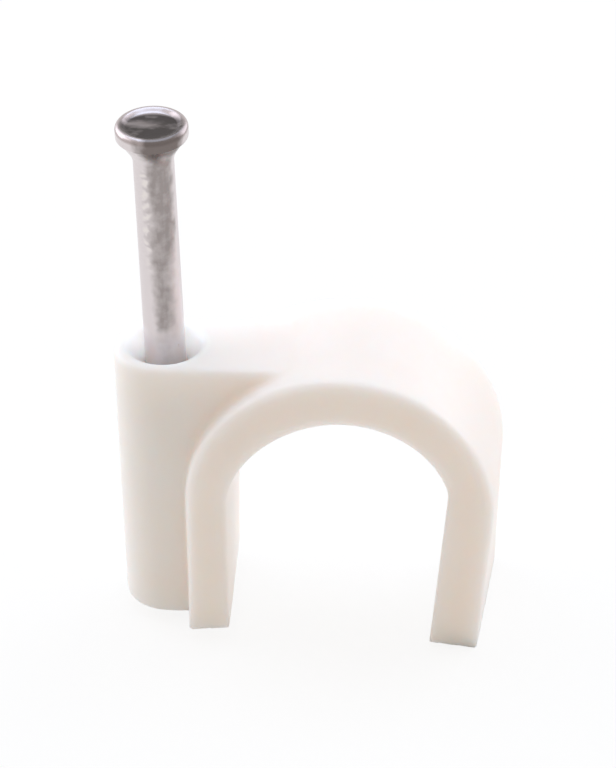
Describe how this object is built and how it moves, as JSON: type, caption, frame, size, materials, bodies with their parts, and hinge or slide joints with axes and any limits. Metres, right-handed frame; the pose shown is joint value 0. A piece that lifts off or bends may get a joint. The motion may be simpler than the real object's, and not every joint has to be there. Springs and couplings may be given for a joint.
{
  "type": "nail in cable clip",
  "caption": "Moulded plastic hook that holds a round cable to a wall, with a boss at its side that carries a steel fixing nail.",
  "frame": {"origin": "middle of the clip's bounding box in X and Y, at the height of the free foot's lowest edge", "axes": "+Z out of the wall, 1 degree off the nail, which leans away from the hook; Y along the cable; +X from the boss to the free arm"},
  "size_m": [0.0188, 0.0078, 0.0275],
  "materials": {
    "moulded_plastic": "satin moulded",
    "zinc_plated_steel": "bright zinc plated, drawn wire"
  },
  "bodies": {
    "clip": {"clip_body": "moulded_plastic"},
    "nail": {"nail": "zinc_plated_steel"}
  },
  "joints": [
    {"name": "nail_drive", "type": "slide", "parent": "clip", "child": "nail", "axis": [0.0175, 0, -0.9998], "range_m": [0, 0.012]}
  ]
}
